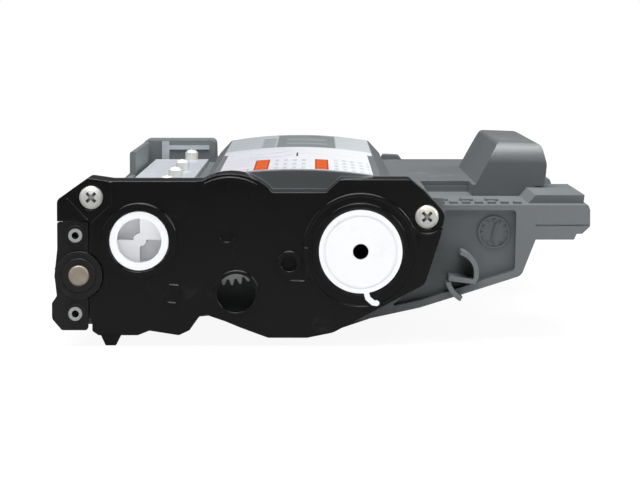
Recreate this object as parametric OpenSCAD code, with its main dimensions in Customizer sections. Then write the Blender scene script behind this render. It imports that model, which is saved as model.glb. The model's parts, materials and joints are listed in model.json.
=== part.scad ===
// Toner cartridge, seen with its drive end in front.
// X runs from the developer roller to the carrying arms, Y from the drive end to the far end, Z up.

/* [Overall] */
// Length from the drive end cover to the far end cover
body_len = 290; // [250:1:340]
// Depth of the drive end cover
gear_depth = 22; // [22:0.5:28]
// Depth of the far end cover
far_depth = 24; // [16:1:30]
// Wall of the grey mouldings
wall = 2.2; // [1.6:0.1:3]
// Wall of the black end cover
cover_wall = 1.5; // [1.2:0.1:2]
// Height of the hopper's rim, where the lid is welded on
rim_z = 44; // [42:0.5:46]
// Height that the lid's crown rises over its shoulders
crown_rise = 2.3; // [1:0.1:4]

/* [Gear train] */
// Module of all the teeth
tooth_module = 0.8; // [0.7:0.05:0.85]
// Play between meshing teeth
backlash = 0.12; // [0.06:0.02:0.24]
// Teeth of the coupling's outer ring
coupling_outer_teeth = 35; // [33:1:36]
// Teeth of the coupling's inner ring
coupling_inner_teeth = 28; // [27:1:29]
// Teeth of the developer roller's gear
developer_teeth = 18; // [17:1:19]
// Teeth of the supply roller's gear
supply_teeth = 16; // [15:1:17]
// Teeth of the idler's large ring
idler_teeth = 39; // [37:1:40]
// Teeth of the idler's pinion
idler_pinion_teeth = 27; // [25:1:27]
// Teeth of the agitator's gear
agitator_teeth = 25; // [23:1:25]
// Running play round each shaft and post, on the radius
running_gap = 0.05; // [0.02:0.01:0.1]
// Free space beside each gear
side_gap = 0.4; // [0.3:0.05:0.6]

/* [Rollers] */
// Radius of the developer roller
developer_r = 8.3; // [7.8:0.1:8.6]
// Radius of the developer roller's shaft
developer_shaft_r = 3.2; // [2.6:0.1:3.6]
// Gap between the rollers, and from the blade to the roller
nip_gap = 0.3; // [0.3:0.05:0.8]
// Radius of the supply roller's shaft
supply_shaft_r = 2.5; // [2:0.1:2.8]
// Radius of the agitator's shaft
agitator_shaft_r = 3; // [2.4:0.1:3.2]
// Reach of the agitator's film from its axis
film_reach = 19; // [15:0.5:19.5]
// Radius of the hopper's round trough
trough_r = 20.5; // [20:0.1:21]

/* [Drive coupling] */
// Outer radius of the coupling's cup
cup_r = 9; // [8.5:0.1:9.4]
// Radius of the cup's hollow
cup_hollow_r = 6.8; // [6.4:0.1:7.2]
// Free depth of the hollow before its driving dogs
cup_mouth = 4.8; // [4.5:0.1:5]
// Height of the driving dogs
dog_h = 4.4; // [3:0.1:4.6]

/* [Filling port] */
// Radius of the plug's head
plug_r = 12.7; // [12:0.1:13]
// Radius of the plug's neck
plug_neck_r = 8.6; // [7:0.1:8.8]
// Radius of the hole in the plug's head
plug_hole_r = 2.4; // [1.5:0.1:3]

/* [Fasteners] */
// Radius of a screw's head
screw_head_r = 3.6; // [3.2:0.1:3.8]
// Radius of a screw's shank
screw_r = 1.5; // [1.2:0.1:1.8]
// Length of a cover screw's shank
screw_len = 12; // [9:0.5:14]
// Outer radius of a locating tube
locating_r = 2.1; // [1.8:0.1:2.3]
// Bore radius of a locating tube
locating_bore_r = 1.1; // [0.8:0.1:1.3]

/* [Grip] */
// Length of the grip hump along the cartridge
grip_len = 125; // [100:1:140]
// Distance from the middle of the cartridge to the middle of the grip
grip_shift = -7.5; // [-15:0.5:5]
// Length of each carrying arm
arm_len = 79; // [60:1:90]

/* [Hidden] */
$fn = 96;

near_y = -body_len / 2;
far_y = body_len / 2;
wall_y = near_y + gear_depth;
wall_in_y = wall_y + wall;
back_y = far_y - far_depth;
back_in_y = back_y - wall;
plate_y = near_y + 1.5;
plate_back_y = plate_y + cover_wall;

gear_in_back = wall_y - side_gap - 2.4;
gear_in_front = gear_in_back - 5.7;
gear_out_back = gear_in_front - side_gap;
gear_out_front = gear_out_back - 6.8;

function mesh_reach(a, b) = tooth_module * (a + b) / 2;
function polar(r, a) = r * [cos(a), sin(a)];
function mesh_turn(turn, teeth, mate_teeth, way) =
    way + 180 + ((way - turn) * teeth / 360 - 0.5) * 360 / mate_teeth;

to_developer = 209.8;
to_supply = 252;
to_idler = 3.8;
to_agitator = -24.8;
coupling_at = [-55, 32.1];
developer_at = coupling_at + polar(mesh_reach(coupling_outer_teeth, developer_teeth), to_developer);
supply_at = coupling_at + polar(mesh_reach(coupling_inner_teeth, supply_teeth), to_supply);
idler_at = coupling_at + polar(mesh_reach(coupling_inner_teeth, idler_teeth), to_idler);
agitator_at = idler_at + polar(mesh_reach(idler_pinion_teeth, agitator_teeth), to_agitator);

developer_turn = mesh_turn(0, coupling_outer_teeth, developer_teeth, to_developer);
supply_turn = mesh_turn(0, coupling_inner_teeth, supply_teeth, to_supply);
idler_turn = mesh_turn(0, coupling_inner_teeth, idler_teeth, to_idler);
agitator_turn = mesh_turn(0, idler_pinion_teeth, agitator_teeth, to_agitator);

roller_gap = norm(developer_at - supply_at);
supply_r = roller_gap - developer_r - nip_gap;
roller_len_near = wall_in_y + 4;
roller_len_far = back_in_y - 4;

post_r = 3;
plug_at = [12.4, 28.8];
port_wall = 1.6;
port_r = plug_neck_r + running_gap + port_wall;
screw_near = [[-69.6, 45.3], [32.6, 39.4]];
screw_boss_r = 3.2;
locating_at = [[-74.4, 33.7], [-74.5, 9.8]];
locating_post_r = 3;
window_at = [-25.5, 16.1];
window_r = 5.9;
shelf_z = 44.4;
bracket_t = 1.5;
bracket_x = -63.5;
bracket_edge_x = -42.3;
blade_t = 0.4;
blade_screw_x = -48.5;
blade_screw_y = [near_y + 45, near_y + 105, back_y - 103, back_y - 17];
foot_y = [near_y + 45, near_y + 110, back_y - 86, back_y - 21];
foot_t = 2.4;
blade_screw_len = 8;
blade_screw_head_r = 2.4;
lid_left = -38;
guard_x = -67.5;
guard_y = back_y - 97;
guard_t = 2.1;
guard_low_z = 36;
guard_top_z = 52.4;
shoulder_left = -33.7;
shoulder_right = 19;
shoulder_z = 50.3;
lid_rise = 2.4;
deck_x = 24.5;
deck_z = rim_z + 1.6;
deck_right = 61.4;
ledge_z = 41.8;
ledge_x = 34;
arm_x = 84;
arm_z = 31;
dial_at = [54.3, 33.1];
dial_r = 5.1;
panel_depth = 3.6;
panel_rim = 1.5;
film_t = 0.4;
label_t = 0.3;
label_near_y = wall_in_y + 0.6;
label_step = 74;
seal_w = 3.6;
seal_r = developer_r + 2.2;
screw_seat_y = plate_y + 1.2;
end_boss_r = 7.2;
developer_gear_r = (developer_teeth / 2 + 1) * tooth_module + side_gap;
clip_t = 0.8;
clip_y = gear_in_back;
agitator_clip_y = gear_out_front - clip_t;
grip_near = grip_shift - grip_len / 2;
grip_top = 59.4;
grip_foot_x = 49.8;
flange_z = ledge_z + 3;
flange_out = 12;
grip_round = 7;
far_screw_at = [[-62, 45.5], [29.5, 38], [-8, 10.5]];

function arc(c, r, a0, a1, n) = [for (i = [0:n]) c + polar(r, a0 + (a1 - a0) * i / n)];

// One corner of an outline, rounded to radius r
function corner(a, b, c, r) = r == 0 ? [b] :
    let (u = (a - b) / norm(a - b), v = (c - b) / norm(c - b), half = acos(u * v) / 2,
        o = b + (u + v) / norm(u + v) * r / sin(half), p = b + u * r / tan(half) - o,
        q = b + v * r / tan(half) - o, a0 = atan2(p.y, p.x),
        turn = (atan2(q.y, q.x) - a0 + 540) % 360 - 180)
    arc(o, r, a0, a0 + turn, 5);

// An outline from [x, z, corner radius] rows
function rounded(p) = let (n = len(p))
    [for (i = [0:n - 1]) each corner([p[(i + n - 1) % n].x, p[(i + n - 1) % n].y],
        [p[i].x, p[i].y], [p[(i + 1) % n].x, p[(i + 1) % n].y], p[i][2])];

function edge_normal(a, b) = let (d = (b - a) / norm(b - a)) [-d.y, d.x];

function flat(row) = [row.x, row.y];

// The rows of an outline drawn in by d; they run against the clock
function inset(rows, d) = let (n = len(rows))
    [for (i = [0:n - 1]) let (m = edge_normal(flat(rows[(i + n - 1) % n]), flat(rows[i])),
        k = edge_normal(flat(rows[i]), flat(rows[(i + 1) % n])),
        q = flat(rows[i]) + (m + k) * d / (1 + m * k), bend = m.x * k.y - m.y * k.x)
        [q.x, q.y, bend > 0 ? max(rows[i][2] - d, 0) : rows[i][2]]];

// A band of width w along a path
function band(p, w) = let (n = len(p),
    side = [for (i = [0:n - 1]) let (d = p[min(i + 1, n - 1)] - p[max(i - 1, 0)])
        [-d.y, d.x] / norm(d) * w / 2])
    concat([for (i = [0:n - 1]) p[i] + side[i]], [for (i = [n - 1:-1:0]) p[i] - side[i]]);

function involute(a) = tan(a) * 180 / PI - a;

// Half the angle that a tooth fills at radius r
function tooth_half(r, pitch_r, base_r, teeth) = let (s = max(r, base_r))
    90 / teeth - backlash / 2 / pitch_r * 180 / PI + involute(20) - involute(acos(base_r / s));

function gear_outline(teeth, turn) = let (pitch_r = teeth * tooth_module / 2,
    base_r = pitch_r * cos(20), root_r = pitch_r - 1.25 * tooth_module,
    tip_r = pitch_r + tooth_module, low = max(base_r, root_r),
    flank = concat([root_r], [for (k = [0:4]) low + (tip_r - low) * k / 4]))
    [for (i = [0:teeth - 1]) let (a = turn + 360 * i / teeth)
        each concat([for (r = flank) polar(r, a - tooth_half(r, pitch_r, base_r, teeth))],
            [for (k = [5:-1:0]) polar(flank[k], a + tooth_half(flank[k], pitch_r, base_r, teeth))])];

module along(y0, y1) translate([0, y1, 0]) rotate([90, 0, 0]) linear_extrude(y1 - y0) children();
module at(p) translate([p.x, 0, p.y]) children();
module rod(r, y0, y1) along(y0, y1) circle(r);
module pipe(r, bore_r, y0, y1) difference() {
    rod(r, y0, y1);
    rod(bore_r, y0 - 1, y1 + 1);
}
module gear(teeth, turn, y0, y1) along(y0, y1) polygon(gear_outline(teeth, turn));

// Outline of the black cover, against the clock from its lower left
function cover_rows() = concat(
    [[-70.2, 38, 0], [-70.2, 8.2, 0], [-69.4, 8.2, 0], [-69.4, 4.5, 0.8], [-67.5, 3.2, 0.8],
        [-55.5, 3.2, 1.5], [-52, 4.6, 1], [-43, 3.2, 1], [-39.8, 4.7, 1], [-35.8, 10.3, 3],
        [-24.2, 5.5, 4], [-15.8, 2.4, 3],
        [-3.9, 2.4, 3], [4, 4, 6], [32, 18.8, 3], [36.8, 33.6, 3], [38.2, 40.5, 3.8], [32.4, 46.6, 4],
        [27.4, 50.7, 2], [6.4, 50.7, 1.2], [2.1, 46.8, 1.2], [-14.7, 46.8, 0.6]],
    [for (p = arc([-27.4, 34.9], 17.6, 47, 119, 10)) [p.x, p.y, 0]],
    [[-38.4, 50.2, 0], [-63.8, 50.2, 0], [-70.6, 51.2, 2], [-80, 44.5, 2], [-80, 38, 0]]);

// Outline of the roller end plate, against the clock from its upper left
function end_plate_outline() = rounded([[-80, 37.7, 0.5], [-80, 29.5, 2], [-80.9, 21.5, 6],
    [-80.2, 15.2, 1], [-81.7, 13, 0.8], [-81.7, 8.2, 2], [-78.7, 4.7, 1], [-70.8, 4.7, 0.8],
    [-70.8, 8.2, 0], [-70.5, 8.4, 0], [-70.5, 37.7, 0]]);

// Outline of the drive end wall, which backs the cover and the end plate
function near_wall_outline() = concat(
    rounded([[-80, 38, 0], [-80, 29.5, 2], [-80.9, 21.5, 6], [-80.2, 15.2, 1], [-81.7, 13, 0.8],
        [-81.7, 8.2, 2], [-78.7, 4.7, 1], [-70.8, 4.7, 0], [-70.8, 8.2, 0]]),
    [for (i = [2:len(rounded(cover_rows())) - 2]) rounded(cover_rows())[i]]);

function crown_centre() = let (half = (shoulder_right - shoulder_left) / 2)
    [(shoulder_left + shoulder_right) / 2,
        shoulder_z + crown_rise - (half * half + crown_rise * crown_rise) / 2 / crown_rise];
crown_r = shoulder_z + crown_rise - crown_centre().y;

// Points along the crown from left to right, lift over the lid's outside
function crown(x0, x1, lift) = [for (i = [0:16]) let (x = x0 + (x1 - x0) * i / 16,
    d = x - crown_centre().x) [x, crown_centre().y + sqrt(pow(crown_r + lift, 2) - d * d)]];

// Outer section of the hopper, against the clock from the lower lip
function hopper_outline() = concat(
    [[-70.5, 10], [-70.5, 8.4], [-67, 6.2], [-46, 6.2]],
    arc(agitator_at, trough_r + wall, 228, 285, 14),
    rounded([[3.5, 3.8, 0], [31.1, 9.8, 4], [44.2, 13.9, 4], [62.7, 19.8, 3], [67.1, arm_z, 2],
        [67.1, ledge_z, 0]]),
    [[deck_right, ledge_z], [deck_right, rim_z], [lid_left, rim_z], [lid_left, shelf_z],
        [bracket_x + bracket_t, shelf_z], [bracket_x + bracket_t, 27]],
    arc(developer_at, developer_r + 0.9, 10, -60, 8));

module hopper_cavity() {
    at(agitator_at) rod(trough_r, wall_in_y, back_in_y);
    at(supply_at) rod(supply_r + 1, wall_in_y, back_in_y);
    along(wall_in_y, back_in_y) {
        polygon([[-74, 10], [-66, 10], [-60.4, supply_at.y - supply_r - 1], [-30, 8.6], [-22, 12],
            [-22, 42], [-59.6, 42], [-59.6, 32.3], [-38, 32.3], [-38, 29.6], [-62, 28], [-67, 20]]);
        polygon([[-9, agitator_at.y], [-9.4, agitator_at.y - trough_r], [2.6, 6.1], [30.6, 12.1],
            [43.5, 16.2], [60.8, 21.6], [64.6, 32], [64.6, ledge_z - wall], [deck_right - wall, 39],
            [deck_right - wall, rim_z + 1], [-35.8, rim_z + 1], [-35.8, 38]]);
    }
}

// The spring clip that stands out of the drive end wall
module wall_clip() along(wall_y - 11, wall_y + panel_depth + 0.1) {
    polygon(band(arc([41.6, 21.4], 6.6, 75, -22, 10), 1.5));
    polygon(band([[39.6, 19.8], [48.1, 18.7]], 1.5));
    polygon(band(arc([47.4, 20.6], 8.2, 194, 242, 8), 1.5));
}

module carrying_arm() difference() {
    union() {
        along(0, arm_len) polygon(rounded([[66, arm_z, 0], [79, arm_z, 0.5], [79.8, 32.8, 0.4],
            [81.5, 32.8, 0.8], [arm_x, 35.1, 1], [arm_x, 40.3, 1], [arm_x - 0.6, ledge_z, 0.3],
            [66, ledge_z, 0]]));
        along(8, arm_len - 3) polygon([[65.2, ledge_z - 0.1], [arm_x - 1.4, ledge_z - 0.1],
            [arm_x - 1.1, ledge_z + 2.7], [67.6, ledge_z + 2.7]]);
    }
    translate([62, -0.1, 35.2]) cube([arm_x - 61, 0.4, 0.5]);
    translate([70, wall, arm_z - 1]) cube([arm_x - 70 - wall, arm_len - 2 * wall, ledge_z - arm_z - wall]);
}

module hopper_housing() color("#707577") {
    difference() {
        housing_solid();
        housing_holes();
    }
    wall_clip();
}

module housing_solid() {
    difference() {
        union() {
            along(wall_y, back_y) polygon(hopper_outline());
            for (y = foot_y) along(y - foot_t / 2, y + foot_t / 2)
                polygon([[-40, 7], [-32, 0], [20, 0], [44, 14.4], [30, 12], [0, 6], [-30, 9]]);
        }
        hopper_cavity();
        translate([ledge_x + 4.4, wall_y - 1, ledge_z]) cube([deck_right - ledge_x, arm_len - wall + 1, 9]);
    }
    along(wall_y, wall_in_y) polygon(near_wall_outline());
    along(back_in_y, back_y) polygon(rounded(far_rows()));
    translate([0, wall_y, 0]) carrying_arm();
    translate([0, back_y - arm_len, 0]) carrying_arm();
    roller_guard();
    ledge();
    along(wall_in_y - 0.1, wall_y + panel_depth + wall) polygon(rounded(inset(panel_rows(), -panel_rim)));
    at(coupling_at) rod(post_r, gear_out_back - 0.6, wall_y);
    at(idler_at) rod(post_r, gear_out_front, wall_y);
    for (p = screw_near) at(p) rod(screw_boss_r, wall_y - 7, wall_y);
    for (p = locating_at) at(p) rod(locating_post_r, plate_y + 4, wall_y);
    at(plug_at) rod(port_r, plate_back_y + side_gap, wall_y);
    for (y = blade_screw_y) translate([blade_screw_x, y, shelf_z - 8]) cylinder(r = 3.4, h = 7.9);
    for (p = far_screw_at) at(p) rod(screw_boss_r, back_y, back_y + 10);
}

// The lip over the developer roller, which rises to a wall towards the far end
module roller_guard() {
    along(wall_y, back_y) translate([guard_x, guard_low_z]) square([guard_t, 8]);
    along(guard_y, back_y) polygon(rounded([[guard_x, guard_low_z + 7, 0],
        [guard_x + guard_t, guard_low_z + 7, 0], [guard_x + guard_t, guard_top_z, 0.8],
        [guard_x, guard_top_z, 0.8]]));
}

module housing_holes() {
    at(plug_at) rod(plug_neck_r + running_gap, near_y, wall_in_y + 0.1);
    at(developer_at) rod(developer_shaft_r + 0.5, wall_y - 1, wall_in_y + 1);
    at(supply_at) rod(supply_shaft_r + running_gap, wall_y - 1, wall_in_y + 1);
    at(agitator_at) rod(agitator_shaft_r + 2, wall_y - 1, wall_in_y + 1);
    at(developer_at) rod(developer_shaft_r + 2, back_in_y - 1, back_y + 1);
    at(supply_at) rod(supply_shaft_r + running_gap, back_in_y - 1, back_y + 1);
    at(agitator_at) rod(agitator_shaft_r + 2, back_in_y - 1, back_y + 1);
    for (p = screw_near) at(p) rod(screw_r + running_gap, wall_y - 8, wall_y + 0.5);
    for (p = locating_at) at(p) rod(locating_r, plate_y, plate_y + 14);
    for (p = far_screw_at) at(p) rod(screw_r + running_gap, back_y, back_y + 11);
    for (y = blade_screw_y) translate([blade_screw_x, y, shelf_z - 7.5])
        cylinder(r = screw_r + running_gap, h = 8);
    for (y = [wall_in_y, back_in_y - seal_w]) at(developer_at) rod(seal_r, y, y + seal_w);
    wall_panel();
}

// The closed top of the housing beside the lid, its risers up to the rim and its raised pads
module ledge() {
    translate([ledge_x, wall_y, ledge_z - wall]) cube([deck_right - ledge_x + 2, arm_len, wall]);
    translate([ledge_x - wall, wall_y, ledge_z - wall]) cube([wall, arm_len, rim_z - ledge_z + wall]);
    translate([ledge_x - wall, wall_y + arm_len - wall, ledge_z - wall])
        cube([deck_right - ledge_x + wall, wall, rim_z - ledge_z + wall]);
    for (i = [0:6]) translate([36.6 + i * 4, wall_y + 5, ledge_z - 0.1]) cube([2.4, 6, 0.9]);
    for (x = [36.6, 44.6, 52.6]) translate([x, wall_y + 20, ledge_z - 0.1]) cube([4, 9, 0.9]);
}

// Outline of the sunk panel in the drive end wall, against the clock from its lower left
function panel_rows() = [[22, 10.2, 0.3], [31.2, 12.2, 3], [60.6, 21.4, 1.5], [61, 40.1, 1],
    [38.9, 40.1, 0.5], [37.2, 33.4, 2], [32.5, 18.6, 2]];

// The sunk panel, with a plain date dial
module wall_panel() difference() {
    along(wall_y - 0.1, wall_y + panel_depth) polygon(rounded(panel_rows()));
    at(dial_at) {
        pipe(dial_r, dial_r - 0.5, wall_y + panel_depth - 0.6, wall_y + panel_depth + 0.1);
        rotate([0, 14, 0]) translate([-0.25, wall_y + panel_depth - 0.6, -3]) cube([0.5, 0.7, 6]);
        for (a = [0:30:330]) rotate([0, a, 0])
            translate([-0.25, wall_y + panel_depth - 0.4, 3.3]) cube([0.5, 0.5, 0.9]);
    }
}

// Section of the lid's flat base
function lid_base(right) = [[lid_left, rim_z], [right, rim_z], [right, deck_z], [deck_x, deck_z],
    [deck_x - 1.2, deck_z + 1], [lid_left, deck_z + 1]];

// Section of the lid's crown from its root at z0, drawn in by d
function lid_crown(z0, d) = concat([[lid_left + d, z0], [deck_x - 1.2 - d, z0]],
    [for (i = [16:-1:0]) crown(shoulder_left + d, shoulder_right - d, -d)[i]]);

// Tilts the crown, which rises towards the far end
module tilted() translate([0, wall_in_y, deck_z]) rotate([asin(lid_rise / (back_y - wall_in_y)), 0, 0])
    translate([0, -wall_in_y, -deck_z]) children();

function grip_outline() = rounded([[51, deck_z - 0.1, 0], [73.4, deck_z - 0.1, 0], [74.4, 52, 5],
    [72.6, grip_top - 0.6, 2.6], [58.6, grip_top, 2]]);

// The grip's hump, with its upper ends rounded
module grip_hump() intersection() {
    along(grip_near, grip_near + grip_len) polygon(grip_outline());
    translate([50, 0, 0]) rotate([90, 0, 90]) linear_extrude(30) polygon(rounded([
        [grip_near, rim_z, 0], [grip_near + grip_len, rim_z, 0],
        [grip_near + grip_len, grip_top, grip_round], [grip_near, grip_top, grip_round]]));
}

module hopper_lid() color("#6c7173") difference() {
    union() {
        along(wall_in_y, back_y) polygon(lid_base(ledge_x - 0.4));
        along(wall_y + arm_len - wall, back_y) polygon(lid_base(deck_right));
        tilted() along(wall_in_y + 0.1, back_y - 0.1) polygon(lid_crown(deck_z, 0));
        grip_hump();
        translate([deck_right - 0.1, grip_near, flange_z])
            cube([flange_out + 0.1, grip_len, deck_z - flange_z + 0.1]);
        translate([grip_foot_x, grip_near, ledge_z])
            cube([deck_right - grip_foot_x, wall_y + arm_len - wall - grip_near, deck_z - ledge_z]);
        along(back_y - 9, back_y) polygon(rounded([[deck_x - 1, deck_z - 0.1, 0],
            [deck_x + 7.5, deck_z - 0.1, 0], [deck_x + 6, deck_z + 1.9, 1], [deck_x, deck_z + 2.2, 1]]));
    }
    along(wall_in_y + wall, back_y - wall) polygon([[lid_left + wall, rim_z - 1], [deck_x - 2, rim_z - 1],
        [deck_x - 3.4, deck_z + 0.2], [lid_left + wall, deck_z + 0.2]]);
    tilted() along(wall_in_y + wall, back_y - wall) polygon(lid_crown(deck_z - 0.5, wall));
    along(grip_near + 4, grip_near + grip_len - 4)
        polygon(rounded([[52.1, rim_z - 1, 0], [71.4, rim_z - 1, 0], [72.4, 52, 4], [70.6, 56.7, 1.6],
            [59.9, 57.2, 1]]));
}

// A sheet of label that lies on the crown
module label_sheet(x0, x1, y0, y1) tilted() along(y0, y1) polygon(concat(crown(x0, x1, 0.02),
    [for (i = [16:-1:0]) crown(x0, x1, label_t)[i]]));

module lid_label() color("white") {
    label_sheet(-31.6, 16.6, label_near_y, label_near_y + label_step);
    label_sheet(shoulder_left + 0.6, shoulder_right - 0.6, label_near_y + label_step, back_y - 6);
}

module gear_cover() color("#141416") difference() {
    union() {
        difference() {
            along(plate_y, wall_y) polygon(rounded(cover_rows()));
            along(plate_back_y, wall_y + 1) polygon(rounded(inset(cover_rows(), cover_wall)));
        }
        for (p = screw_near) at(p) rod(screw_boss_r + 0.8, plate_back_y - 0.1, wall_y - 7.1);
        at(coupling_at) rod(cup_r + 2.4, near_y, plate_back_y);
        at(plug_at) {
            pipe(plug_r + 5, plug_r + 4, near_y + 0.9, plate_back_y);
            rod(plug_r + 2, near_y + 0.9, plate_back_y);
        }
        at(window_at) pipe(window_r + 1, window_r, near_y + 0.7, plate_back_y + 2);
        at(agitator_at) rod(3.7, near_y + 0.7, plate_back_y);
        along(plate_y + 1, plate_y + 7) polygon([[-67, 3.4], [-65.4, 0], [-62.3, 0], [-60.6, 3.4]]);
        cover_ribs();
    }
    at(coupling_at) rod(cup_r + 0.45, near_y - 1, plate_back_y + 1);
    at(plug_at) rod(plug_r + 0.5, near_y - 1, plate_y + 0.3);
    at(plug_at) rod(port_r + 0.3, near_y - 1, plate_back_y + 1);
    at(window_at) rod(window_r, near_y - 1, plate_back_y + 3);
    at(agitator_at) rod(2.4, near_y - 1, plate_back_y + 1);
    at(idler_at) rod(2.3, near_y - 1, plate_y + 0.8);
    at(developer_at) {
        rod(end_boss_r + nip_gap, near_y - 1, plate_back_y + 1);
        rod(developer_gear_r, plate_back_y, wall_y + 1);
    }
    translate([-71, plate_back_y, 8]) cube([0.9 + cover_wall, gear_depth, 31.4]);
    for (p = screw_near) at(p) {
        rod(screw_r + 0.2, near_y - 1, wall_y);
        rod(screw_head_r + 0.3, near_y - 1, screw_seat_y);
    }
}

// Raised lines on the cover's face
module cover_ribs() along(near_y + 0.6, plate_y + 0.1) {
    polygon(band([[-77.1, 44.8], [-70.9, 38.1]], 0.9));
    polygon(band([[-63.9, 42.4], [-69.2, 37.4]], 0.9));
    polygon(band([[-63.7, 42], [-63.7, 50]], 0.9));
    polygon(band(arc(screw_near[1], 5.6, 215, 325, 8), 0.9));
    polygon(band([[-4.2, 30], [-4.2, 19.6], [-9, 19.6]], 1));
    polygon(band(arc([-27.4, 34.9], 16.2, 60, 118, 8), 0.8));
    polygon(band([[-46, 18.4], [-43.4, 18.4], [-43.4, 13], [-46.4, 13]], 0.8));
}

module roller_end_plate() color("#232527") difference() {
    union() {
        along(plate_y + 0.3, plate_y + 4) polygon(end_plate_outline());
        at(developer_at) rod(end_boss_r, near_y + 0.6, plate_y + 4);
        for (p = locating_at) at(p) rod(locating_post_r, plate_y - 0.4, plate_y + 4);
    }
    at(developer_at) rod(developer_shaft_r + 2, near_y, plate_y + 5);
    for (p = locating_at) at(p) rod(locating_r, near_y, plate_y + 5);
}

module locating_tubes() color("#8d9294") for (p = locating_at) at(p)
    difference() {
        rod(locating_r, plate_y - 0.9, plate_y + 13.5);
        rod(locating_bore_r, near_y, plate_y + 11);
    }

module near_shaft_bush() color("#2c2e30") at(developer_at)
    pipe(developer_shaft_r + 2, developer_shaft_r + running_gap, near_y + 0.2, plate_y + 4.2);

module far_shaft_bush() color("#2c2e30") at(developer_at)
    pipe(developer_shaft_r + 2, developer_shaft_r + running_gap, back_in_y, back_y);

// A pan-head screw along +Y with a cross recess, its head raised by lift
module screw(len, head_r = screw_head_r, lift = 0) difference() {
    union() {
        rod(screw_r, -0.1, len);
        rotate([-90, 0, 0]) rotate_extrude() polygon(concat([[0, 0], [head_r, 0], [head_r, -0.9 - lift]],
            [for (a = [20:17.5:90]) [head_r * cos(a), -0.5 - lift - 1.7 * sin(a)]]));
    }
    for (a = [45, 135]) rotate([0, a, 0]) translate([-0.45, -3 - lift, -head_r * 0.53])
        cube([0.9, 1.9, head_r * 1.06]);
}

module cover_screws() color("#c9ccbf") for (p = screw_near)
    translate([p.x, screw_seat_y, p.y]) screw(screw_len);

module fill_plug() color("#f2f2f0") difference() {
    union() {
        at(plug_at) {
            rod(plug_r, near_y, near_y + 1.6);
            rod(plug_neck_r, near_y + 1.5, near_y + 13);
        }
        at([13.6, 16.2]) pull_tab();
    }
    at(plug_at) rod(plug_hole_r, near_y - 1, near_y + 10);
    at(plug_at) rod(plug_neck_r - 1.6, near_y + 3.4, near_y + 14);
    at(plug_at) pipe(plug_r - 1.4, plug_r - 2, near_y - 0.1, near_y + 0.25);
}

module pull_tab() along(near_y, near_y + 0.8) {
    polygon(band([[0.3, 0.9], [1, -1.6], [2.6, -3], [3.7, -3.1]], 1.7));
    translate([3.6, -3.1]) circle(0.85);
}

module drive_coupling() color("#efefec") difference() {
    union() {
        at(coupling_at) {
            gear(coupling_outer_teeth, 0, gear_out_front, gear_out_back);
            gear(coupling_inner_teeth, 0, gear_out_back - 0.1, gear_in_back);
            rod(post_r + 2, gear_in_back - 0.1, wall_y - side_gap);
            rod(cup_r, near_y + 0.3, gear_out_front + 0.1);
        }
    }
    at(coupling_at) {
        rod(post_r + running_gap, gear_out_back - 1, wall_y);
        difference() {
            rod(cup_hollow_r, near_y - 1, near_y + 0.3 + cup_mouth + dog_h);
            for (a = [180, 0]) along(near_y + 0.3 + cup_mouth, near_y + 20)
                polygon(concat([[0, 0]], arc([0, 0], cup_hollow_r + 0.5, a, a + 90, 12)));
            rod(2, near_y + 0.3 + cup_mouth, near_y + 20);
        }
    }
}

module compound_web(r0, r1, y0, y1) for (a = [0:60:300]) rotate([0, a, 0])
    along(y0, y1) translate([(r0 + r1) / 2, 0]) circle((r1 - r0) * 0.36);

module idler_gear() color("#b9bdbe") at(idler_at) difference() {
    union() {
        gear(idler_teeth, idler_turn, gear_in_front, gear_in_back);
        gear(idler_pinion_teeth, 0, gear_out_front + 0.4, gear_in_front + 0.1);
        rod(post_r + 2, gear_in_back - 0.1, wall_y - side_gap);
    }
    rod(post_r + running_gap, near_y, wall_y);
    difference() {
        rod(idler_teeth * tooth_module / 2 - 2.4, gear_in_back - 3, gear_in_back + 0.1);
        rod(post_r + 2, gear_in_back - 4, gear_in_back + 0.2);
    }
    compound_web(post_r + 1.6, idler_pinion_teeth * tooth_module / 2 - 2.2, near_y, gear_in_front - 2);
}

module developer_roller() color("#26282a") at(developer_at)
    pipe(developer_r, developer_shaft_r, roller_len_near, roller_len_far);

module developer_shaft() color("#b98a5c") at(developer_at) {
    rotate([-90, 0, 0]) translate([0, 0, near_y])
        rotate_extrude() polygon([[0, 0], [developer_shaft_r - 0.5, 0], [developer_shaft_r, 0.5],
            [developer_shaft_r, body_len - far_depth + 9.5],
                [developer_shaft_r - 0.5, body_len - far_depth + 10],
            [0, body_len - far_depth + 10]]);
}

module developer_gear() color("#e4e4e0") at(developer_at) difference() {
    union() {
        gear(developer_teeth, developer_turn, gear_out_front, gear_out_back);
        rod(developer_shaft_r + 1.5, gear_out_back - 0.1, wall_y - side_gap);
    }
    rod(developer_shaft_r, near_y, wall_y);
}

module supply_roller() color("#3a3a3c") at(supply_at)
    pipe(supply_r, supply_shaft_r, roller_len_near + 1, roller_len_far - 1);

module supply_shaft() color("#c4c7c8") at(supply_at) difference() {
    rod(supply_shaft_r, gear_in_front - 0.2, back_y + 3);
    pipe(supply_shaft_r + 1, supply_shaft_r - 0.5, clip_y, clip_y + clip_t);
}

module supply_gear() color("#e4e4e0") at(supply_at) difference() {
    gear(supply_teeth, supply_turn, gear_in_front, gear_in_back);
    rod(supply_shaft_r, near_y, wall_y);
}

// A snap ring with its open mouth
module snap_ring(shaft_r) along(clip_y, clip_y + clip_t)
    polygon(concat(arc([0, 0], shaft_r + 1.6, 35, 325, 24), arc([0, 0], shaft_r - 0.44, 325, 35, 24)));

module supply_clip() color("#9ea2a4") at(supply_at) snap_ring(supply_shaft_r);

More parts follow.
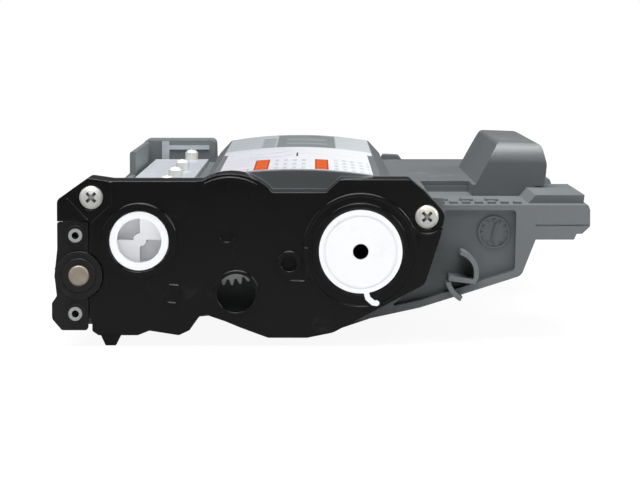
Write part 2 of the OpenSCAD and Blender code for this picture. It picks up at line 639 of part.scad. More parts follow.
module agitator_shaft() color("#d8d8d2") at(agitator_at) difference() {
    union() {
        rod(agitator_shaft_r, gear_out_front - 1.6, back_y + 3);
        along(wall_in_y + 3, back_in_y - 3) translate([-2, -agitator_shaft_r - 1.2]) square([4, 3]);
    }
    pipe(agitator_shaft_r + 1, agitator_shaft_r - 0.5, agitator_clip_y, agitator_clip_y + clip_t);
}

module agitator_film() color("#c8d4d8") at(agitator_at) along(wall_in_y + 4, back_in_y - 4)
    polygon([[2, -agitator_shaft_r - 1.2], [2 + film_t, -agitator_shaft_r - 1.2],
        [2 + film_t, -0.4 * film_reach], [4 + film_t, -0.96 * film_reach], [4, -0.96 * film_reach],
        [2, -0.4 * film_reach]]);

module agitator_gear() color("#e4e4e0") at(agitator_at) difference() {
    gear(agitator_teeth, agitator_turn, gear_out_front, gear_out_back);
    rod(agitator_shaft_r, near_y, wall_y);
}

module agitator_clip() color("#9ea2a4") at(agitator_at) translate([0, agitator_clip_y - clip_y, 0])
    snap_ring(agitator_shaft_r);

module agitator_seals() color("#202224") for (y = [wall_y, back_in_y]) at(agitator_at)
    pipe(agitator_shaft_r + 2, agitator_shaft_r + running_gap, y, y + wall);

module doctor_bracket() color("#c2cbd2") difference() {
    along(wall_in_y + 6, back_in_y - 6) polygon([[bracket_x, 33], [bracket_x + bracket_t, 33],
        [bracket_x + bracket_t, shelf_z], [bracket_edge_x, shelf_z], [bracket_edge_x, shelf_z + bracket_t],
        [bracket_x + 1, shelf_z + bracket_t], [bracket_x, shelf_z + bracket_t - 1]]);
    for (y = blade_screw_y) translate([blade_screw_x, y, shelf_z - 1]) cylinder(r = screw_r + 0.2, h = 4);
}

module doctor_blade() color("#dfe3e4") along(wall_in_y + 8, back_in_y - 8)
    polygon([[bracket_x - blade_t, 41], [bracket_x - blade_t, 30],
        developer_at + polar(developer_r + nip_gap + 0.3, 27),
        developer_at + polar(developer_r + nip_gap + 0.3 + blade_t, 27) + [0.05, 0.1], [bracket_x, 30],
        [bracket_x, 41]]);

module blade_screws() color("#d5d8d2") for (y = blade_screw_y)
    translate([blade_screw_x, y, shelf_z + bracket_t]) rotate([-90, 0, 0])
        screw(blade_screw_len, blade_screw_head_r, 2);

module end_seals() color("#8a6f52") for (y = [wall_in_y, back_in_y - seal_w]) at(developer_at)
    along(y, y + seal_w) polygon(concat(arc([0, 0], seal_r, -100, 20, 16),
        arc([0, 0], developer_shaft_r + 1, 20, -100, 16)));

module lower_seal_film() color("#b8c4cc") along(wall_in_y + 4, back_in_y - 4)
    polygon([[-66.6, 10], [-70.5, 10], [-74.5, 12.1], [-74.3, 12.4], [-70.4, 10.3], [-66.6, 10.3]]);

// Outline of the far end, against the clock from its lower left
function far_rows() = [[-80.2, 9, 2], [-77, 5, 2], [-46, 5, 2], [-36, 8.6, 4], [-18, 3, 4],
    [-2, 3, 4], [31, 11, 4], [37, 33, 4], [37, rim_z, 2],
    [lid_left - 0.2, rim_z, 0], [-39.8, 46, 0], [-40, 53, 2], [guard_x, 53, 1.5], [guard_x - 0.2, 45, 3],
    [-80, 34, 4]];

module far_end_cover() color("#666b6d") difference() {
    union() {
        difference() {
            along(back_y, far_y) polygon(rounded(far_rows()));
            along(back_y - 1, far_y - wall) polygon(rounded(inset(far_rows(), wall)));
        }
        for (p = far_screw_at) at(p) rod(screw_boss_r + 0.8, back_y + 10.1, far_y - wall + 0.1);
        at(developer_at) rod(developer_shaft_r + 3, far_y - wall - 1, far_y - wall + 0.1);
        for (x = [-50, -38, -26]) along(far_y - 1, far_y - 0.1) translate([x, 14]) square([2, 24]);
    }
    for (p = far_screw_at) at(p) {
        rod(screw_r + 0.2, back_y, far_y + 1);
        rod(screw_head_r + 0.3, back_y + 14, far_y + 1);
    }
    for (x = [-48, -36, -24]) along(far_y - 0.9, far_y + 1) translate([x, 14]) square([8, 24]);
}

module far_cover_screws() color("#c9ccbf") for (p = far_screw_at)
    translate([p.x, back_y + 14, p.y]) mirror([0, 1, 0]) screw(screw_len);

// Bright sheet metal that stands on the wall behind the blade
module contact_plate() color("#d6dade") along(back_in_y - 0.8, back_in_y) {
    polygon([[-60.5, shelf_z + 0.1], [-57.7, shelf_z + 0.1], [-57.7, 49.4], [-42.3, 49.4], [-42.3, 51],
        [-57.7, 51], [-57.7, 52.6], [-60.5, 52.6]]);
}

hopper_housing();
hopper_lid();
lid_label();
gear_cover();
roller_end_plate();
locating_tubes();
near_shaft_bush();
far_shaft_bush();
cover_screws();
fill_plug();
drive_coupling();
idler_gear();
developer_roller();
developer_shaft();
developer_gear();
supply_roller();
supply_shaft();
supply_gear();
supply_clip();
agitator_shaft();
agitator_film();
agitator_gear();
agitator_clip();
agitator_seals();
doctor_bracket();
doctor_blade();
blade_screws();
end_seals();
lower_seal_film();
far_end_cover();
far_cover_screws();
contact_plate();
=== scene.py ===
import json
import math

import bmesh
import bpy
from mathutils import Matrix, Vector


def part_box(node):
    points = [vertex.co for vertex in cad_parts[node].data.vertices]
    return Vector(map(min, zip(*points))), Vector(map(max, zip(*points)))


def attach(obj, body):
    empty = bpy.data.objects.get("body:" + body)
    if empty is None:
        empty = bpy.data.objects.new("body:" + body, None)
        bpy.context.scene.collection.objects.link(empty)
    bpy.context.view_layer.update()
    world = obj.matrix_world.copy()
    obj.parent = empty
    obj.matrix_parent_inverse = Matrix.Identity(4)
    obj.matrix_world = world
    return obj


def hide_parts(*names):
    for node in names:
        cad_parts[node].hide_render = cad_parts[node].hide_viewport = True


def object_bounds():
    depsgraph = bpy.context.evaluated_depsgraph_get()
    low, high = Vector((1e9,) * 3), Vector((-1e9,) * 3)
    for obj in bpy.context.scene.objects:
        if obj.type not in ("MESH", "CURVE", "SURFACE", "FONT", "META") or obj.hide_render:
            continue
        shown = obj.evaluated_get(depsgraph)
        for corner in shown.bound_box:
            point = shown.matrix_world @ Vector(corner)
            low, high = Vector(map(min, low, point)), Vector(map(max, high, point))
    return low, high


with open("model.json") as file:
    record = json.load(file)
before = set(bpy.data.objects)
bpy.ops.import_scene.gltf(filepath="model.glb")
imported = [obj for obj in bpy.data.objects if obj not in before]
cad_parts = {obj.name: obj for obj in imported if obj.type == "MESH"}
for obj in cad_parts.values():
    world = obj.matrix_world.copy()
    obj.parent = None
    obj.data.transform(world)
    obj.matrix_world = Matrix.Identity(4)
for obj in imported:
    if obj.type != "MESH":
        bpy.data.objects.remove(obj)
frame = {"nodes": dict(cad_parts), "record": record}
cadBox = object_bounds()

mm = 0.001
perMetre = 1000.0  # millimetres in a metre
fullTurn = 2.0 * math.pi
nodes = frame["nodes"]


# One value that varies over a surface; sums and products add Math nodes
class Field:
    def __init__(self, tree, socket):
        self.tree = tree
        self.socket = socket

    def make(self, kind, settings=None, inputs=None, out=0):
        node = self.tree.nodes.new(kind)
        for key, value in (settings or {}).items():
            setattr(node, key, value)
        for key, value in (inputs or {}).items():
            target = node.inputs[key]
            if isinstance(value, Field):
                self.tree.links.new(value.socket, target)
            else:
                target.default_value = value
        return Field(self.tree, node.outputs[out])

    def math(self, operation, other=None, swapped=False):
        pair = [self] if other is None else ([other, self] if swapped else [self, other])
        return self.make("ShaderNodeMath", {"operation": operation}, dict(enumerate(pair)))

    def __add__(self, other):
        return self.math("ADD", other)

    __radd__ = __add__

    def __sub__(self, other):
        return self.math("SUBTRACT", other)

    def __rsub__(self, other):
        return self.math("SUBTRACT", other, swapped=True)

    def __mul__(self, other):
        return self.math("MULTIPLY", other)

    __rmul__ = __mul__

    def __truediv__(self, other):
        return self.math("DIVIDE", other)

    def __rtruediv__(self, other):
        return self.math("DIVIDE", other, swapped=True)

    def mag(self):
        return self.math("ABSOLUTE")

    def clamp(self):
        return self.make("ShaderNodeClamp", None, {0: self})

    def top(self, other):
        return self.math("MAXIMUM", other)

    def axes(self):
        return [self.make("ShaderNodeSeparateXYZ", None, {0: self}, out=k) for k in range(3)]

    def noise(self, scale, detail=3.0, rough=0.55, stretch=None):
        where = self
        if stretch:
            where = self.make("ShaderNodeMapping", None, {"Vector": self, "Scale": stretch})
        return self.make("ShaderNodeTexNoise", None,
                         {"Vector": where, "Scale": scale, "Detail": detail, "Roughness": rough})

    def ramp(self, low, high):
        return self.make("ShaderNodeMapRange", None, {0: self, 1: low, 2: high, 3: 0.0, 4: 1.0})

    def mix(self, first, second):
        return self.make("ShaderNodeMix", {"data_type": "RGBA"}, {0: self, 6: first, 7: second}, out=2)


def rgb(red, green, blue):
    return (red, green, blue, 1.0)


# A Principled material with its object coordinates as a Field
def newMaterial(name, roughness=0.5, metallic=0.0, coat=0.0, coatRough=0.1, specular=0.5):
    material = bpy.data.materials.new(name)
    material.use_nodes = True
    tree = material.node_tree
    shader = tree.nodes["Principled BSDF"]
    shader.inputs["Roughness"].default_value = roughness
    shader.inputs["Metallic"].default_value = metallic
    shader.inputs["Coat Weight"].default_value = coat
    shader.inputs["Coat Roughness"].default_value = coatRough
    shader.inputs["Specular IOR Level"].default_value = specular
    where = Field(tree, tree.nodes.new("ShaderNodeTexCoord").outputs["Object"])
    return material, where


def feed(material, socket, field):
    shader = material.node_tree.nodes["Principled BSDF"]
    material.node_tree.links.new(field.socket, shader.inputs[socket])


# A height of 0 to 1 into a Bump node that feeds Normal; an edge radius in mm rounds the normals first
def feedBump(material, height, strength, distance, edge=0.0, samples=6):
    inputs = {"Strength": strength, "Distance": distance, "Height": height}
    if edge:
        inputs["Normal"] = height.make("ShaderNodeBevel", {"samples": samples}, {"Radius": edge * mm})
    feed(material, "Normal", height.make("ShaderNodeBump", None, inputs))


# How open a spot is to its surroundings within a distance: 0 deep in a recess, 1 on a free face
def openness(where, distance, samples=8):
    settings = {"samples": samples, "only_local": True}
    return where.make("ShaderNodeAmbientOcclusion", settings, {"Distance": distance}, out=1)


# What the moulded plastics share: their noises, how far each shifts the tone and the roughness
mouldingLook = {
    "coat": 0.0, "coatRough": 0.1, "driftDetail": 3.0, "grainDetail": 2.0, "grainNoise": 0.6,
    "scuffDetail": 4.0, "scuffNoise": 0.7, "scuffStretch": (1.0, 0.25, 1.0), "scuffRange": (0.62, 0.74),
    "driftShare": 0.8, "grainShare": 0.2, "toneRange": (0.3, 0.7),
    "roughDrop": 0.06, "roughGrain": 0.12, "roughScuff": 0.15,
}


# Fine spark-eroded grain of a moulded part, a soft drift of tone and a few handling scuffs
def mouldedPlastic(name, look):
    material, where = newMaterial(name, look["rough"], coat=look["coat"],
                                  coatRough=look["coatRough"], specular=look["specular"])
    drift = where.noise(look["driftScale"], look["driftDetail"])
    grain = where.noise(look["grainScale"], look["grainDetail"], look["grainNoise"])
    scuff = where.noise(look["scuffScale"], look["scuffDetail"], look["scuffNoise"], look["scuffStretch"])
    scuff = scuff.ramp(*look["scuffRange"])
    tone = (drift * look["driftShare"] + grain * look["grainShare"]).ramp(*look["toneRange"])
    tone = tone.mix(look["dark"], look["light"])
    feed(material, "Base Color", (scuff * look["scuff"]).mix(tone, look["scuffColour"]))
    rough = look["rough"] - look["roughDrop"] + grain * look["roughGrain"] + scuff * look["roughScuff"]
    feed(material, "Roughness", rough.clamp())
    feedBump(material, grain, look["bump"], look["bumpDepth"], look["edge"])
    return material


greyLook = dict(
    mouldingLook, dark=rgb(0.140, 0.153, 0.160), light=rgb(0.162, 0.176, 0.183),
    rough=0.42, specular=0.25, coat=0.12, coatRough=0.3, edge=0.5,
    driftScale=14.0, grainScale=1500.0, scuffScale=60.0,
    scuff=0.12, scuffColour=rgb(0.30, 0.32, 0.33), bump=0.25, bumpDepth=0.00008)
# The lid: a darker copy of the grey plastic, its lower tone painted shade for the deck and flank, with a
# stronger specular
shadedLidLook = dict(
    greyLook, dark=rgb(0.098, 0.107, 0.112), light=rgb(0.118, 0.128, 0.134),
    rough=0.46, specular=0.8, coat=0.0)
blackLook = dict(
    mouldingLook, dark=rgb(0.0028, 0.0029, 0.0027), light=rgb(0.005, 0.0052, 0.0049),
    rough=0.13, specular=0.6, coat=0.2, coatRough=0.08, edge=0.45,
    driftScale=20.0, grainScale=700.0, scuffScale=90.0,
    scuff=0.35, scuffColour=rgb(0.03, 0.03, 0.031), bump=0.05, bumpDepth=0.00005)
darkLook = dict(
    mouldingLook, dark=rgb(0.010, 0.010, 0.0102), light=rgb(0.017, 0.017, 0.0175),
    rough=0.3, specular=0.5, coat=0.2, coatRough=0.15, edge=0.3,
    driftScale=20.0, grainScale=1200.0, scuffScale=90.0,
    scuff=0.3, scuffColour=rgb(0.05, 0.05, 0.052), bump=0.15, bumpDepth=0.00006)
whiteLook = dict(
    mouldingLook, dark=rgb(0.84, 0.85, 0.87), light=rgb(0.89, 0.90, 0.92),
    rough=0.38, specular=0.5, edge=0.2,
    driftScale=30.0, grainScale=900.0, scuffScale=120.0,
    scuff=0.25, scuffColour=rgb(0.62, 0.62, 0.60), bump=0.06, bumpDepth=0.00004)
paleLook = dict(
    whiteLook, dark=rgb(0.60, 0.61, 0.61), light=rgb(0.68, 0.69, 0.69),
    rough=0.45, scuffColour=rgb(0.4, 0.4, 0.4))

greyPlastic = mouldedPlastic("greyPlastic", greyLook)
shadedLidPlastic = mouldedPlastic("shadedLidPlastic", shadedLidLook)
blackPlastic = mouldedPlastic("blackPlastic", blackLook)
darkPlastic = mouldedPlastic("darkPlastic", darkLook)
whitePlastic = mouldedPlastic("whitePlastic", whiteLook)
palePlastic = mouldedPlastic("palePlastic", paleLook)


# Plated steel: clouds of tint over a base colour, rolling lines, and painted shade where a recess is closed
# in
platingLook = {
    "metallic": 0.55, "cloudScale": 180.0, "cloudDetail": 4.0, "cloudRange": (0.42, 0.66), "cloudShare": 0.7,
    "lineScale": 900.0, "lineDetail": 2.0, "lineNoise": 0.5, "stretch": (1.0, 0.05, 1.0),
    "recess": rgb(0.12, 0.11, 0.09), "recessReach": 0.0012, "openRange": (0.35, 0.85),
    "roughDrop": 0.08, "roughLine": 0.2, "roughCloud": 0.06, "bump": 0.3, "bumpDepth": 0.00005,
}


def platedMetal(name, look):
    material, where = newMaterial(name, look["rough"], metallic=look["metallic"])
    clouds = where.noise(look["cloudScale"], look["cloudDetail"])
    lines = where.noise(look["lineScale"], look["lineDetail"], look["lineNoise"], look["stretch"])
    tone = (clouds.ramp(*look["cloudRange"]) * look["cloudShare"]).mix(look["base"], look["tint"])
    # painted shade: the colour darkens towards recess where a spot is closed in by nearby surfaces
    free = openness(where, look["recessReach"]).ramp(*look["openRange"])
    feed(material, "Base Color", free.mix(look["recess"], tone))
    rough = look["rough"] - look["roughDrop"] + lines * look["roughLine"] + clouds * look["roughCloud"]
    feed(material, "Roughness", rough.clamp())
    feedBump(material, lines, look["bump"], look["bumpDepth"])
    return material


zincLook = dict(platingLook, base=rgb(0.80, 0.81, 0.79), tint=rgb(0.66, 0.64, 0.52), rough=0.40,
                stretch=(1.0, 1.0, 1.0))
sheetLook = dict(platingLook, base=rgb(0.56, 0.60, 0.63), tint=rgb(0.48, 0.52, 0.55), rough=0.42)
rodLook = dict(platingLook, base=rgb(0.60, 0.61, 0.62), tint=rgb(0.50, 0.51, 0.52), rough=0.25)

zincPlate = platedMetal("zincPlate", zincLook)
sheetMetal = platedMetal("sheetMetal", sheetLook)
steelRod = platedMetal("steelRod", rodLook)

shaftLook = {
    "rough": 0.4, "metallic": 0.6, "ringWaves": 9000.0, "cloudScale": 420.0, "cloudRange": (0.35, 0.7),
    "cloudShare": 0.8, "tan": rgb(0.52, 0.44, 0.35), "greyCast": rgb(0.38, 0.34, 0.29),
    "roughLow": 0.32, "roughRing": 0.16, "roughCloud": 0.1, "bump": 0.25, "bumpDepth": 0.00004,
}


# The turned end of the roller shaft: rings of tool marks, a sine of the distance from its axis
def turnedEnd(name, box, look):
    middle = [(low + high) / 2 for low, high in zip(*box)]
    material, where = newMaterial(name, look["rough"], metallic=look["metallic"])
    east, _, up = where.axes()
    across = ((east - middle[0]) * (east - middle[0]) + (up - middle[2]) * (up - middle[2])).math("SQRT")
    rings = (across * look["ringWaves"]).math("SINE") * 0.5 + 0.5
    clouds = where.noise(look["cloudScale"])
    tone = (clouds.ramp(*look["cloudRange"]) * look["cloudShare"]).mix(look["tan"], look["greyCast"])
    feed(material, "Base Color", tone)
    rough = look["roughLow"] + rings * look["roughRing"] + clouds * look["roughCloud"]
    feed(material, "Roughness", rough.clamp())
    feedBump(material, rings, look["bump"], look["bumpDepth"])
    return material


tanShaft = turnedEnd("tanShaft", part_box("developer_shaft"), shaftLook)

poresLook = {"specular": 0.3, "detail": 4.0, "noise": 0.7, "toneRange": (0.35, 0.65),
             "roughDrop": 0.05, "roughPores": 0.1, "bump": 0.5}


# Ground rubber, open-cell foam, felt or hazy film: one noise of pores for tone, roughness and bump
def softSleeve(name, dark, light, rough, scale, depth, look=poresLook):
    material, where = newMaterial(name, rough, specular=look["specular"])
    pores = where.noise(scale, look["detail"], look["noise"])
    feed(material, "Base Color", pores.ramp(*look["toneRange"]).mix(dark, light))
    feed(material, "Roughness", (rough - look["roughDrop"] + pores * look["roughPores"]).clamp())
    feedBump(material, pores, look["bump"], depth)
    return material


# Each with its dark and light tone, roughness, pore scale and bump depth in metres
rollerRubber = softSleeve("rollerRubber", rgb(0.012, 0.012, 0.013), rgb(0.022, 0.022, 0.023),
                          0.55, 1400.0, 0.00008)
foam = softSleeve("foam", rgb(0.02, 0.02, 0.021), rgb(0.07, 0.07, 0.072), 0.9, 700.0, 0.0005)
felt = softSleeve("felt", rgb(0.16, 0.12, 0.08), rgb(0.30, 0.24, 0.17), 0.95, 1800.0, 0.0003)
clearFilm = softSleeve("clearFilm", rgb(0.42, 0.47, 0.51), rgb(0.52, 0.56, 0.60), 0.25, 120.0, 0.00005)


# Soft-edged mask of a rectangle in X and Y, all in millimetres; its ends are softer than its sides
def patch(east, north, xRange, yRange, soft=0.25, endSoftness=4):
    halfWide, halfLong = [(high - low) / 2 for low, high in (xRange, yRange)]
    midX, midY = [(low + high) / 2 for low, high in (xRange, yRange)]
    wide = (halfWide - (east - midX).mag()) / soft
    long = (halfLong - (north - midY).mag()) / (soft * endSoftness)
    return wide.clamp() * long.clamp()


# A wave along one axis, cut to bands: start and pitch in mm, and the range of the sine that fades in
def bands(place, start, pitch, low, high):
    return ((place - start) * (fullTurn / pitch)).math("SINE").ramp(low, high)


# Places and sizes in mm, in the part's own X and Y; colours, and how strongly each mark covers the paper
labelPrint = {
    "rough": 0.34, "specular": 0.3, "roughLow": 0.22, "roughWrinkle": 0.12,
    "wrinkleScale": 70.0, "bump": 0.15, "bumpDepth": 0.0004,
    "paper": rgb(0.56, 0.565, 0.61), "paperRight": rgb(0.72, 0.735, 0.75),
    "farPaper": rgb(0.38, 0.405, 0.425), "farRight": rgb(0.50, 0.525, 0.545),
    "orange": rgb(0.66, 0.10, 0.014), "orangeInk": rgb(0.22, 0.045, 0.012),
    "ink": rgb(0.30, 0.33, 0.39), "pinkInk": rgb(0.62, 0.36, 0.36), "black": rgb(0.02, 0.02, 0.022),
    "block": rgb(0.14, 0.155, 0.16),
    "toneX": (-24.0, 16.0), "farStart": 18.0, "farFade": (-2.0, 2.0),
    # loose strokes: a sine whose phase itself swings across the label, kept where it is over the crest
    "strokeSwing": (0.21, 0.031), "strokeSwings": 2.6, "strokePitch": 0.31,
    "crest": 0.9, "crestFade": (0.0, 0.06),
    "strokeFields": [((-31.0, -21.8), (-112.0, -64.0), "pinkInk", 0.6),
                     ((-24.0, -9.0), (-58.0, -8.0), "ink", 0.55)],
    # x range, column pitch, y range and row pitch of each field of small marks
    "markFields": [((-14.6, -2.8), 2.9, (-118.0, -58.0), 22.0), ((4.6, 16.2), 2.7, (-116.0, -50.0), 17.0)],
    "markColumn": (0.0, 0.25), "markRow": (-0.3, 0.1), "markInk": 0.95,
    "breakScale": 1500.0, "breakDetail": 2.0, "breakNoise": 0.6, "breakRange": (0.40, 0.60),
    "orangeX": [(-20.9, -16.1), (-1.6, 2.9)], "orangeY": (-119.0, -60.0),
    "frameSide": 0.5, "frameNear": 2.0, "frameFar": 2.5, "frameInk": 0.8,
    "linesSide": 0.9, "linesY": (-112.0, -66.0), "linesSoft": 0.4, "linePitch": 17.0,
    "lineBand": (0.1, 0.4), "lineInk": 0.75,
    # two short black bars, with their edge softness
    "bars": [((-7.9, -7.1), (-44.0, -20.0), 0.25), ((-23.0, -22.2), (-116.0, -110.0), 0.4)],
    # x and y ranges of each field of the far part, its tone and its strength
    "farFields": [((-15.4, 6.1), (19.0, 110.0), "block", 0.8), ((-20.7, -15.4), (20.0, 92.0), "block", 0.45),
                  ((-12.0, 3.0), (40.0, 52.0), "farPaper", 0.35),
                  ((-12.0, 3.0), (68.0, 84.0), "farPaper", 0.3),
                  ((-3.5, 1.0), (98.0, 112.0), "block", 0.5)],
    "farSoft": 0.5,
}


# White paper near, grey paper far, both paler to the right
def labelPaper(look, east, north):
    toRight = east.ramp(*look["toneX"])
    far = (north - look["farStart"]).ramp(*look["farFade"])
    near = toRight.mix(look["paper"], look["paperRight"])
    return far.mix(near, toRight.mix(look["farPaper"], look["farRight"]))


# The loose strokes and the two fields of small marks, broken up by a fine noise
def labelMarks(look, east, north, breaks, colour):
    swing = (east * look["strokeSwing"][0] + north * look["strokeSwing"][1]).math("SINE")
    phase = swing * look["strokeSwings"] + north * look["strokePitch"]
    strokes = (phase.math("SINE") - look["crest"]).ramp(*look["crestFade"])
    for xRange, yRange, ink, strength in look["strokeFields"]:
        colour = (strokes * patch(east, north, xRange, yRange) * strength).mix(colour, look[ink])
    for xRange, pitch, yRange, step in look["markFields"]:
        column = bands(east, xRange[0], pitch, *look["markColumn"])
        row = bands(north, yRange[0], step, *look["markRow"])
        marks = column * row * breaks * patch(east, north, xRange, yRange)
        colour = (marks * look["markInk"]).mix(colour, look["ink"])
    return colour


# The two orange fields, each with a dark frame line and a column of dark lines
def labelOrange(look, east, north, breaks, colour):
    yRange = look["orangeY"]
    inside = (yRange[0] + look["frameNear"], yRange[1] - look["frameFar"])
    for x0, x1 in look["orangeX"]:
        field = patch(east, north, (x0, x1), yRange)
        colour = field.mix(colour, look["orange"])
        frameLine = field - patch(east, north, (x0 + look["frameSide"], x1 - look["frameSide"]), inside)
        middle = (x0 + look["linesSide"], x1 - look["linesSide"])
        inner = patch(east, north, middle, look["linesY"], look["linesSoft"])
        lines = bands(north, look["linesY"][0], look["linePitch"], *look["lineBand"]) * inner * breaks
        dark = (frameLine.clamp() * look["frameInk"] + lines * look["lineInk"]).clamp()
        colour = dark.mix(colour, look["orangeInk"])
    return colour


# The label: white near part with two orange fields and small marks, grey far part with dark fields
def labelMaterial(look=labelPrint):
    material, where = newMaterial("labelFilm", look["rough"], specular=look["specular"])
    east, north, _ = [axis * perMetre for axis in where.axes()]
    breaks = where.noise(look["breakScale"], look["breakDetail"], look["breakNoise"])
    breaks = breaks.ramp(*look["breakRange"])
    colour = labelMarks(look, east, north, breaks, labelPaper(look, east, north))
    colour = labelOrange(look, east, north, breaks, colour)
    for xRange, yRange, soft in look["bars"]:
        colour = patch(east, north, xRange, yRange, soft).mix(colour, look["black"])
    for xRange, yRange, tone, strength in look["farFields"]:
        colour = (patch(east, north, xRange, yRange, look["farSoft"]) * strength).mix(colour, look[tone])
    feed(material, "Base Color", colour)
    wrinkle = where.noise(look["wrinkleScale"])
    feed(material, "Roughness", (look["roughLow"] + wrinkle * look["roughWrinkle"]).clamp())
    feedBump(material, wrinkle, look["bump"], look["bumpDepth"])
    return material


labelFilm = labelMaterial()
print("materials ready")

# The material of each CAD node
finish = {
    "hopper_housing": greyPlastic, "hopper_lid": shadedLidPlastic, "far_end_cover": greyPlastic,
    "lid_label": labelFilm, "gear_cover": blackPlastic, "roller_end_plate": darkPlastic,
    "near_shaft_bush": darkPlastic, "far_shaft_bush": darkPlastic, "agitator_seals": darkPlastic,
    "locating_tubes": steelRod, "cover_screws": zincPlate, "blade_screws": zincPlate,
    "far_cover_screws": zincPlate, "supply_clip": zincPlate, "agitator_clip": zincPlate,
    "fill_plug": whitePlastic, "drive_coupling": whitePlastic, "idler_gear": palePlastic,
    "developer_gear": palePlastic, "supply_gear": palePlastic, "agitator_gear": palePlastic,
    "agitator_shaft": darkPlastic, "developer_roller": rollerRubber, "developer_shaft": tanShaft,
    "supply_roller": foam, "supply_shaft": steelRod, "agitator_film": clearFilm,
    "lower_seal_film": clearFilm, "end_seals": felt, "doctor_bracket": sheetMetal,
    "doctor_blade": sheetMetal, "contact_plate": sheetMetal,
}
for name, node in nodes.items():
    node.data.materials.clear()
    node.data.materials.append(finish[name])

bodyOf = {name: body for body, names in frame["record"]["behaviour"]["bodies"].items() for name in names}

# Edge rounding of each dressed copy: width in mm, segments, and the angle in degrees that counts as an edge
rounding = {
    "gear_cover": (0.35, 2, 30), "roller_end_plate": (0.3, 2, 30), "hopper_housing": (0.3, 2, 30),
    "hopper_lid": (0.5, 2, 28), "far_end_cover": (0.5, 2, 30), "fill_plug": (0.22, 2, 30),
    "lid_label": (0.04, 1, 40), "drive_coupling": (0.12, 1, 35), "near_shaft_bush": (0.2, 2, 30),
    "doctor_bracket": (0.15, 1, 30),
}
joining = {"distance": 0.002, "flatAngle": 1.0}  # in mm and degrees

# Small moves inside a copy, in mm: the corners of the box that picks the vertices, and their shift
shifts = {
    # the lower edges of the ribs below the hopper, shortened at both ends so that the black cover hides them
    "hopper_housing": [{"low": (-33.5, -145.0, -0.5), "high": (-30.8, 145.0, 0.8), "by": (12.0, 0.0, 0.0)},
                       {"low": (18.8, -145.0, -0.5), "high": (21.2, 145.0, 0.8), "by": (-17.0, 0.0, 0.0)}],
    # the right side of the grip's foot, carried outwards so that no gap shows under it
    "hopper_lid": [{"low": (61.0, -146.0, 40.0), "high": (61.8, -46.1, 44.9), "by": (9.0, 0.0, 0.0)}],
    # the step where the label widens, moved back and up with the slope of the crown
    "lid_label": [{"low": (-40.0, -46.4, 50.0), "high": (30.0, -46.1, 60.0), "by": (0.0, 46.26, 0.459)}],
}


def shiftVertices(work, row):
    picked = [v for v in work.verts if all(row["low"][k] <= v.co[k] / mm <= row["high"][k] for k in range(3))]
    bmesh.ops.translate(work, vec=Vector(row["by"]) * mm, verts=picked)


# A copy of a CAD node with its loose triangles joined, flat faces merged and edges rounded
def dressedCopy(name, width, segments, angle):
    mesh = nodes[name].data.copy()
    work = bmesh.new()
    work.from_mesh(mesh)
    bmesh.ops.remove_doubles(work, verts=work.verts, dist=joining["distance"] * mm)
    flat = math.radians(joining["flatAngle"])
    bmesh.ops.dissolve_limit(work, angle_limit=flat, verts=work.verts, edges=work.edges)
    for row in shifts.get(name, []):
        shiftVertices(work, row)
    for face in work.faces:
        face.smooth = True
    work.to_mesh(mesh)
    work.free()
    piece = bpy.data.objects.new(name + "_dressed", mesh)
    bpy.context.scene.collection.objects.link(piece)
    bevel = piece.modifiers.new("edgeRounding", "BEVEL")
    bevel.width = width * mm
    bevel.segments = segments
    bevel.limit_method = "ANGLE"
    bevel.angle_limit = math.radians(angle)
    bevel.miter_outer = "MITER_ARC"
    normals = piece.modifiers.new("flatFaces", "WEIGHTED_NORMAL")
    normals.keep_sharp = True
    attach(piece, bodyOf[name])
    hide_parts(name)


for name, (width, segments, angle) in rounding.items():
    dressedCopy(name, width, segments, angle)
print("edges rounded")

# Place in mm in the part's frame, distance in front of its near end, focal length in pixels, turns in degrees
camera = {"x": -1.5, "z": 98.5, "distance": 967.0, "focalPx": 3190.0, "widthPx": 640.0, "sensor": 36.0,
          "pitch": 3.91, "yaw": 0.09, "clipEnd": 20.0}


def placeCamera():
    data = bpy.data.cameras.new("studioCamera")
    data.sensor_width = camera["sensor"]
    data.lens = camera["focalPx"] / camera["widthPx"] * camera["sensor"]
    data.clip_end = camera["clipEnd"]
    rig = bpy.data.objects.new("studioCamera", data)
    rig.location = (camera["x"] * mm, cadBox[0][1] - camera["distance"] * mm, camera["z"] * mm)
    rig.rotation_euler = (math.radians(90.0 - camera["pitch"]), 0.0, math.radians(-camera["yaw"]))
    bpy.context.scene.collection.objects.link(rig)
    bpy.context.scene.camera = rig


# Places and sizes in metres; all lamps look at the same point
lamps = {
    "topSoftbox": {"place": (-0.1, -0.1, 1.05), "size": 1.0, "watts": 21.0},
    "leftSoftbox": {"place": (-1.1, -0.35, 0.6), "size": 0.7, "watts": 1.6},
    "rightSoftbox": {"place": (1.1, -0.15, 0.65), "size": 0.7, "watts": 9.0},
    "frontFill": {"place": (0.1, -1.6, 1.0), "size": 0.6, "watts": 3.0},
}
lampAim = Vector((0.0, 0.0, 0.03))


def placeLamps():
    for name, row in lamps.items():
        data = bpy.data.lights.new(name, "AREA")
        data.shape = "SQUARE"
        data.size = row["size"]
        data.energy = row["watts"]
        lamp = bpy.data.objects.new(name, data)
        lamp.location = row["place"]
        lamp.rotation_euler = (lampAim - lamp.location).to_track_quat("-Z", "Y").to_euler()
        bpy.context.scene.collection.objects.link(lamp)


worldLook = {"dome": 0.24, "mirrored": 0.05}


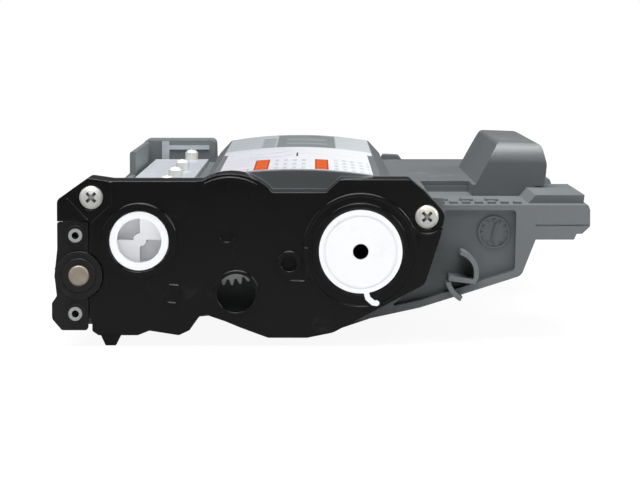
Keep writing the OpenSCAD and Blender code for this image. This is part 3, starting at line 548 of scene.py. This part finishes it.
# World: white to the camera and through film, a soft dome for diffuse light, nearly dark in reflections
def setWorld(look=worldLook):
    world = bpy.data.worlds.new("studioWorld")
    bpy.context.scene.world = world
    world.use_nodes = True
    tree = world.node_tree
    back = tree.nodes["Background"]
    path = tree.nodes.new("ShaderNodeLightPath")
    seen = Field(tree, path.outputs["Is Camera Ray"]).top(Field(tree, path.outputs["Is Transmission Ray"]))
    glossy = Field(tree, path.outputs["Is Glossy Ray"])
    back.inputs["Color"].default_value = rgb(1.0, 1.0, 1.0)
    unseen = glossy * (look["mirrored"] - look["dome"]) + look["dome"]
    tree.links.new((unseen + seen * (1.0 - unseen)).socket, back.inputs["Strength"])


# Lengths in metres; keep is the share of its own shading that the camera sees near the part
floorLook = {"radius": 6.0, "below": 0.0002, "corners": 64, "rough": 0.9, "grey": rgb(0.8, 0.8, 0.8),
             "mirrored": rgb(0.07, 0.07, 0.07), "glow": 1.05, "keep": 0.12, "fade": (0.25, 1.2)}


# Paper that looks almost pure light to the camera; its own shading, with the shadow, fades with distance
def floorPaper(look):
    material = bpy.data.materials.new("floorPaper")
    material.use_nodes = True
    tree = material.node_tree
    shader = tree.nodes["Principled BSDF"]
    shader.inputs["Roughness"].default_value = look["rough"]
    path = tree.nodes.new("ShaderNodeLightPath")
    shade = Field(tree, path.outputs["Is Glossy Ray"]).mix(look["grey"], look["mirrored"])
    tree.links.new(shade.socket, shader.inputs["Base Color"])
    light = tree.nodes.new("ShaderNodeEmission")
    light.inputs["Strength"].default_value = look["glow"]
    place = Field(tree, tree.nodes.new("ShaderNodeTexCoord").outputs["Object"])
    away = place.make("ShaderNodeVectorMath", {"operation": "LENGTH"}, {0: place}, out=1).ramp(*look["fade"])
    seen = Field(tree, path.outputs["Is Camera Ray"]) * (away * look["keep"] + (1.0 - look["keep"]))
    blend = tree.nodes.new("ShaderNodeMixShader")
    tree.links.new(seen.socket, blend.inputs["Fac"])
    tree.links.new(shader.outputs[0], blend.inputs[1])
    tree.links.new(light.outputs[0], blend.inputs[2])
    tree.links.new(blend.outputs[0], tree.nodes["Material Output"].inputs["Surface"])
    return material


# A wide disc just under the part
def layFloor(look=floorLook):
    turns = [fullTurn * k / look["corners"] for k in range(look["corners"])]
    height = cadBox[0][2] - look["below"]
    rim = [(look["radius"] * math.cos(turn), look["radius"] * math.sin(turn), height) for turn in turns]
    mesh = bpy.data.meshes.new("floor")
    mesh.from_pydata(rim, [], [list(range(len(rim)))])
    mesh.materials.append(floorPaper(look))
    floor = bpy.data.objects.new("floor", mesh)
    bpy.context.scene.collection.objects.link(floor)


placeCamera()
placeLamps()
setWorld()
layFloor()
bpy.context.scene.view_settings.view_transform = "Standard"
print("studio ready")
